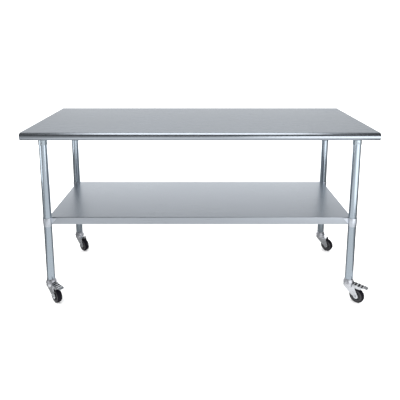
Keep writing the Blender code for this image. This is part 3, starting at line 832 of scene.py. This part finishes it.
def hub_mesh():
    """The wheel centre, about Z: rim, dished web, ribs and a boss."""
    half = WHEEL_HALF
    boss = FORK_INNER - 0.0005
    hole, boss_r = 0.0043, 0.0088
    side = [(hole, boss), (boss_r - 0.0006, boss), (boss_r, boss - 0.0006)]
    side += [(boss_r + 0.0008, 0.0066), (0.0200, 0.0052), (0.0222, 0.0062)]
    side += [(0.0230, half - 0.0030), (0.0238, half - 0.0022), (HUB_R, half - 0.0022)]
    profile = side + [(r, -z) for r, z in side[::-1]]
    shape = bmesh.new()
    add_turned(shape, profile, FINE_SIDES)
    rib_half, web_z, rib_z = 0.0008, 0.0045, 0.0100
    for angle in circle(6):
        turn = Matrix.Rotation(angle, 4, "Z")
        for low, high in ((-rib_z, -web_z), (web_z, rib_z)):
            add_box(shape, (boss_r - 0.0005, -rib_half, low), (0.0232, rib_half, high), turn)
    return mesh_of(shape, "hub")


def axle_head_mesh():
    """The axle rivet about Z: its low domed head is at -Z."""
    face = FORK_OUTER + GAP
    radius, height, shank = 0.0055, 0.0026, 0.0040
    dome = []
    for degrees in (90, 70, 50, 30, 10):
        angle = math.radians(degrees)
        dome.append((radius * math.cos(angle) + 0.00005, -face - height * math.sin(angle)))
    profile = [*dome, (radius, -face), (shank, -face)]
    profile += [(shank, face + 0.0058), (shank - 0.0006, face + 0.0062)]
    shape = bmesh.new()
    add_capped(shape, profile, SMALL_SIDES)
    return mesh_of(shape, "axle_head")


def axle_nut_mesh():
    """A hexagon lock nut on a washer, about Z."""
    face = FORK_OUTER + GAP
    bore, washer_r = 0.0043, 0.0066
    nut_low, nut_top = face + 0.0006, face + 0.0046
    shape = bmesh.new()
    washer = [(bore, nut_low), (washer_r, nut_low), (washer_r, face), (bore, face)]
    add_turned(shape, washer, SMALL_SIDES)
    levels = [
        (0.0062, nut_low, True),
        (0.0065, nut_low + 0.0006, True),
        (0.0065, nut_top - 0.0010, True),
        (0.0058, nut_top, False),
        (bore, nut_top, False),
        (bore, nut_low, False),
    ]
    for here, there in pairs(nut_rings(shape, levels)):
        bridge(shape, here, there)
    return mesh_of(shape, "axle_nut")


def pedal_line(x):
    """The height of the pedal's top at x."""
    return PEDAL_START.z + PEDAL_SLOPE * (x - PEDAL_START.x)


def pedal_mesh():
    """The brake pedal: raised bars on two lobed arms, a pin, a shoe and a spring."""
    shape = bmesh.new()
    arm = [(0.0305, 0.1035), (0.0302, 0.0950), (0.0330, 0.0912), (0.0420, 0.0862)]
    arm += [(0.0510, 0.0838), (0.0690, 0.0850), (0.0745, 0.0868), (0.0768, 0.0900)]
    arm += [(0.0785, 0.0930), (0.0915, 0.0985), (0.0920, 0.1000), (0.0700, 0.1005)]
    outline = rounded(arm, 0.0030)
    sheet = 0.0016
    for low in (-PEDAL_HALF, PEDAL_HALF - sheet):
        add_plate(shape, outline, low, low + sheet)
    bar_bend, bar_sheet = 0.0010, 0.0014
    for x in PEDAL_BARS:
        top = pedal_line(x)
        bend_z, roof, foot = top - bar_bend, top - 0.0018, top - 0.0040
        left, right = x - PEDAL_BAR_HALF, x + PEDAL_BAR_HALF
        bar = arc((left + 0.0008, bend_z), bar_bend, 180, 90, 3)
        bar += arc((right - 0.0008, bend_z), bar_bend, 90, 0, 3)
        bar += [(right, foot), (right - bar_sheet, foot), (right - bar_sheet, roof)]
        bar += [(left + bar_sheet, roof), (left + bar_sheet, foot), (left, foot)]
        add_plate(shape, bar, -PEDAL_HALF, PEDAL_HALF)
    add_box(shape, (0.0475, -0.0105, 0.0846), (0.0600, 0.0105, 0.0870))
    add_box(shape, (0.0514, -0.0090, 0.0851), (0.0549, 0.0090, 0.1028))
    tip = FORK_OUTER + 0.0010
    across = Matrix.Translation(PIVOT) @ Matrix.Rotation(math.pi / 2, 4, "X")
    pin = [(0.0012, -tip), (0.0023, -tip + 0.0004), (0.0025, -tip + 0.0009)]
    pin += [(0.0025, tip - 0.0009), (0.0023, tip - 0.0004), (0.0012, tip)]
    add_capped(shape, pin, 24, across)
    turns, per_turn, coil, wire, spring_half = 6, 14, 0.0037, 0.0007, 0.0060
    path = []
    for i in range(turns * per_turn + 1):
        angle = 2 * math.pi * i / per_turn
        y = spring_half * (2 * i / (turns * per_turn) - 1)
        path.append(PIVOT + Vector((coil * math.cos(angle), y, coil * math.sin(angle))))
    add_bar(shape, path, wire, 6)
    return mesh_of(shape, "pedal")


def pedal_tab_mesh():
    """The pedal's foot tab, bent down, with round corners."""
    shape = bmesh.new()
    start = PEDAL_BARS[-1] + PEDAL_BAR_HALF - 0.0010
    start_z = pedal_line(start)
    line = [(start, start_z - 0.0002), (PEDAL_BEND.x + 0.003, start_z - 0.0008)]
    line += [(PEDAL_END.x - 0.004, PEDAL_END.z + 0.0014)]
    line += [(PEDAL_END.x - 0.0004, PEDAL_END.z + 0.0002)]
    loop = line + [(x - 0.0004, z - 0.0018) for x, z in line[::-1]]
    tip = (len(line) - 1, len(line))
    corner, halfway, lift = 0.0035, 0.0018, 0.0009
    near = TAB_HALF - 0.001
    rings = []
    for y, pull in ((-TAB_HALF, corner), (-near, halfway), (corner - TAB_HALF, 0.0),
                    (TAB_HALF - corner, 0.0), (near, halfway), (TAB_HALF, corner)):
        ring = []
        for i, (x, z) in enumerate(loop):
            if i in tip and pull:
                x, z = x - pull, z + lift
            ring.append(shape.verts.new((x, y, z)))
        rings.append(ring)
    close_tower(shape, rings)
    return mesh_of(shape, "pedal_tab")


def pedal_shade_pad_mesh():
    """A black sheet under the pedal's bars, which shows between them as painted shade in the gaps,
    and its cam.
    """
    first, last = PEDAL_BARS[0], PEDAL_BARS[-1]
    top, low = 0.0020, 0.0050
    corners = ((first, top), (last, top), (last, low), (first, low))
    outline = [(x, pedal_line(x) - drop) for x, drop in corners]
    shape = bmesh.new()
    shade_pad_half, cam_half = PEDAL_HALF - 0.0002, 0.0115
    add_plate(shape, rounded(outline, 0.0008, 2), -shade_pad_half, shade_pad_half)
    cam = [(0.0297, 0.0990), (0.0297, 0.1080), (0.0325, 0.1080), (0.0345, 0.1035)]
    add_plate(shape, rounded(cam, 0.0012, 3), -cam_half, cam_half)
    return mesh_of(shape, "pedal_shade_pad")


def add_casters():
    race, tyre, hub = race_mesh(), tyre_mesh(), hub_mesh()
    forks = {True: fork_mesh(True), False: fork_mesh(False)}
    head, nut = axle_head_mesh(), axle_nut_mesh()
    pedal, shade_pad, tab = pedal_mesh(), pedal_shade_pad_mesh(), pedal_tab_mesh()
    axes = {joint["name"]: Vector(joint["axis"]) for joint in frame["joints"]}
    to_axle = Matrix.Translation((TRAIL, 0, WHEEL_R)) @ Matrix.Rotation(-math.pi / 2, 4, "X")
    for corner in CORNERS:
        x, y, _, _, _ = LEGS[corner]
        along = axes[f"{corner}_wheel_spin"]
        base = place(x, y, 0, math.atan2(-along.x, along.y))
        axle = base @ to_axle
        swivel, wheel, brake = f"{corner}_swivel", f"{corner}_wheel", f"{corner}_brake"
        eared = f"{corner}_brake_pedal" in frame["nodes"]
        piece(f"{corner}_race_dome", race, "race", "frame", [f"{corner}_caster_race"], base)
        piece(
            f"{corner}_fork", forks[eared], "bright_zinc", swivel, [f"{corner}_caster_yoke"],
            base, METAL_EDGE,
        )
        piece(f"{corner}_axle_head", head, "dull_zinc", swivel, [f"{corner}_axle_bolt"], axle)
        piece(f"{corner}_lock_nut", nut, "dull_zinc", swivel, [f"{corner}_axle_nut"], axle)
        piece(f"{corner}_tread", tyre, "tyre_rubber", wheel, [f"{corner}_tyre"], axle)
        piece(
            f"{corner}_hub", hub, "hub_plastic", wheel, [f"{corner}_wheel_hub"],
            axle, SMALL_EDGE,
        )
        if eared:
            piece(
                f"{corner}_pedal", pedal, "bright_zinc", brake, [f"{corner}_brake_pedal"],
                base, SMALL_EDGE,
            )
            # Painted shade: a black sheet under the bars that darkens the gaps between them.
            piece(f"{corner}_pedal_shade_pad", shade_pad, "sleeve_rubber", brake, (), base, SMALL_EDGE)
            piece(f"{corner}_pedal_tab", tab, "bright_zinc", brake, (), base)


# Finishes of the nodes that stay ---------------------------------------------
def finish_nodes():
    kept = {"leg_channel": "galvanised_sheet", "centre_channel": "galvanised_sheet",
            "undershelf_channel": "galvanised_sheet", "caster_stem": "dull_zinc",
            "caster_sleeve": "sleeve_rubber"}
    for name, node in frame["nodes"].items():
        if node.hide_render:
            continue
        finish = next(kept[key] for key in kept if name.endswith(key))
        for slot in node.material_slots:
            slot.material = MATERIALS[finish]


# Studio ----------------------------------------------------------------------
WORLD_STRENGTH = 2.2
# How far the front and the sides of the room, its back and its ceiling are.
ROOM = 6
BACK_Y = 1.7
CEILING = 3.2
# How far out the dark flags beside the table stand.
FLAG_X = 1.15
# Heights of cards that lie just under and just over the floor.
BELOW_FLOOR = -0.002
ABOVE_FLOOR = 0.001
CARD_TINT = (0.97, 0.985, 1.0)


def glow(name, strength, fades, clear):
    """An even glow that fades along axes: (axis, from, to, share left) in metres.

    It fades to nothing where it is clear, and towards black otherwise.
    """
    made = bpy.data.materials.new(name)
    made.use_nodes = True
    nodes, links = made.node_tree.nodes, made.node_tree.links
    nodes.clear()
    parts = nodes.new("ShaderNodeSeparateXYZ")
    links.new(nodes.new("ShaderNodeTexCoord").outputs["Object"], parts.inputs["Vector"])
    light = nodes.new("ShaderNodeEmission")
    light.inputs["Color"].default_value = (*CARD_TINT, 1)
    light.inputs["Strength"].default_value = strength
    share = None
    for axis, start, end, left in fades:
        mapped = nodes.new("ShaderNodeMapRange")
        mapped.interpolation_type = "SMOOTHSTEP"
        ends = (("From Min", start), ("From Max", end), ("To Min", 1), ("To Max", left))
        for key, number in ends:
            mapped.inputs[key].default_value = number
        links.new(parts.outputs[axis], mapped.inputs["Value"])
        product = nodes.new("ShaderNodeMath")
        product.operation = "MULTIPLY"
        product.inputs[0].default_value = 1 if clear else strength
        if share:
            links.new(share, product.inputs[0])
        links.new(mapped.outputs["Result"], product.inputs[1])
        share = product.outputs["Value"]
    shader = light.outputs["Emission"]
    if clear:
        mix = nodes.new("ShaderNodeMixShader")
        links.new(share, mix.inputs[0])
        links.new(nodes.new("ShaderNodeBsdfTransparent").outputs["BSDF"], mix.inputs[1])
        links.new(shader, mix.inputs[2])
        shader = mix.outputs["Shader"]
    elif share:
        links.new(share, light.inputs["Strength"])
    out = nodes.new("ShaderNodeOutputMaterial")
    links.new(shader, out.inputs["Surface"])
    return made


def quad(name, corners, material):
    mesh = bpy.data.meshes.new(name)
    mesh.from_pydata(corners, [], [(0, 1, 2, 3)])
    mesh.materials.append(material)
    return add_object(name, mesh)


def card(name, corners, strength, fades=(), clear=False):
    """A flat card of light that shows only in reflections."""
    obj = quad(name, corners, glow(name, strength, fades, clear))
    obj.visible_camera = False
    obj.visible_diffuse = False
    obj.visible_shadow = False
    obj.visible_transmission = False


def level(x0, x1, y0, y1, z):
    """The corners of a level card."""
    return [(x0, y0, z), (x1, y0, z), (x1, y1, z), (x0, y1, z)]


def upright(x0, y0, x1, y1, z0, z1):
    """The corners of an upright card over a line on the floor."""
    return [(x0, y0, z0), (x1, y1, z0), (x1, y1, z1), (x0, y0, z1)]


def both_sides(start, end, left):
    """A fade along X to the left and to the right."""
    return ("X", start, end, left), ("X", -start, -end, left)


def add_floor():
    reach, albedo = 30.0, 0.95
    paint = bpy.data.materials.new("pale_floor")
    paint.use_nodes = True
    shader = paint.node_tree.nodes["Principled BSDF"]
    shader.inputs["Base Color"].default_value = (albedo, albedo, albedo, 1)
    shader.inputs["Roughness"].default_value = 1.0
    shader.inputs["Specular IOR Level"].default_value = 0.0
    floor = quad("floor", level(-reach, reach, -reach, reach, 0), paint)
    floor.visible_glossy = False


def add_world():
    """White surroundings, which light the table and aren't reflected in it."""
    world = bpy.data.worlds.new("studio")
    bpy.context.scene.world = world
    world.use_nodes = True
    shade = world.node_tree.nodes["Background"]
    shade.inputs["Color"].default_value = (1, 1, 1, 1)
    shade.inputs["Strength"].default_value = WORLD_STRENGTH
    world.cycles_visibility.glossy = False
    bpy.context.scene.view_settings.view_transform = "Standard"


def add_cards():
    """The surroundings that the steel reflects: a room, then flags and softboxes near the legs."""
    # Painted shadow: the floor's glow fades darker under the table, where the table shades the
    # floor.
    painted_table_shadow = ("Y", -0.35, 0.0, 0.35)
    floor_fades = (*both_sides(1.15, 1.4, 0.52), painted_table_shadow)
    card("floor_glow", level(-9, 9, -9, 9, BELOW_FLOOR), 0.88, floor_fades)
    dim_above_worktop = ("Z", 0.85, 1.3, 0.46)
    wall = upright(-4.5, BACK_Y, 4.5, BACK_Y, 0, CEILING)
    card("back_glow", wall, 1.4, (dim_above_worktop, *both_sides(0.9, 2.6, 0.8)))
    card("over_glow", level(-3, 3, -1.5, 1.1, CEILING), 1.9, both_sides(1.05, 1.45, 0.05))
    front = upright(-9, -ROOM, 9, -ROOM, 0, 5)
    card("front_glow", front, 0.28, both_sides(0.3, 2.6, 0.8))
    for side, flag_top in ((-1, 0.58), (1, 0.50)):
        wing = upright(side * ROOM, -ROOM, side * ROOM, ROOM, 0, 4)
        card(f"side_glow_{side}", wing, 0.50)
        flag = upright(side * FLAG_X, -0.47, side * FLAG_X, 0.5, 0, flag_top)
        card(f"side_flag_{side}", flag, 0.22)
    card("left_shade", level(-1.35, -0.88, -0.42, 0.45, ABOVE_FLOOR), 0.30)
    to_nothing = ("X", 0.85, 0.15, 0.0)
    right = upright(0.0, -2.05, 2.0, -1.05, 0.07, 1.25)
    card("right_box", right, 1.9, (to_nothing,), clear=True)
    card("left_box", upright(-2.4, -2.0, -2.4, -0.45, 0, 1.0), 1.7)


# The camera stands in the table's middle, looks down a little and has its lens shifted down.
CAMERA_PLACE = Vector((0.0, -2.547, 1.469))
CAMERA_TILT = math.radians(90 - 9.82)
CAMERA_SENSOR = 36
CAMERA_LENS = 39.77
CAMERA_SHIFT = -0.230


def add_camera():
    data = bpy.data.cameras.new("camera")
    data.sensor_width = CAMERA_SENSOR
    data.lens = CAMERA_LENS
    data.shift_y = CAMERA_SHIFT
    camera = add_object("camera", data)
    camera.location = CAMERA_PLACE
    camera.rotation_euler = (CAMERA_TILT, 0, 0)
    bpy.context.scene.camera = camera


add_worktop()
add_shelf()
add_legs()
add_casters()
finish_nodes()
add_floor()
add_world()
add_cards()
add_camera()
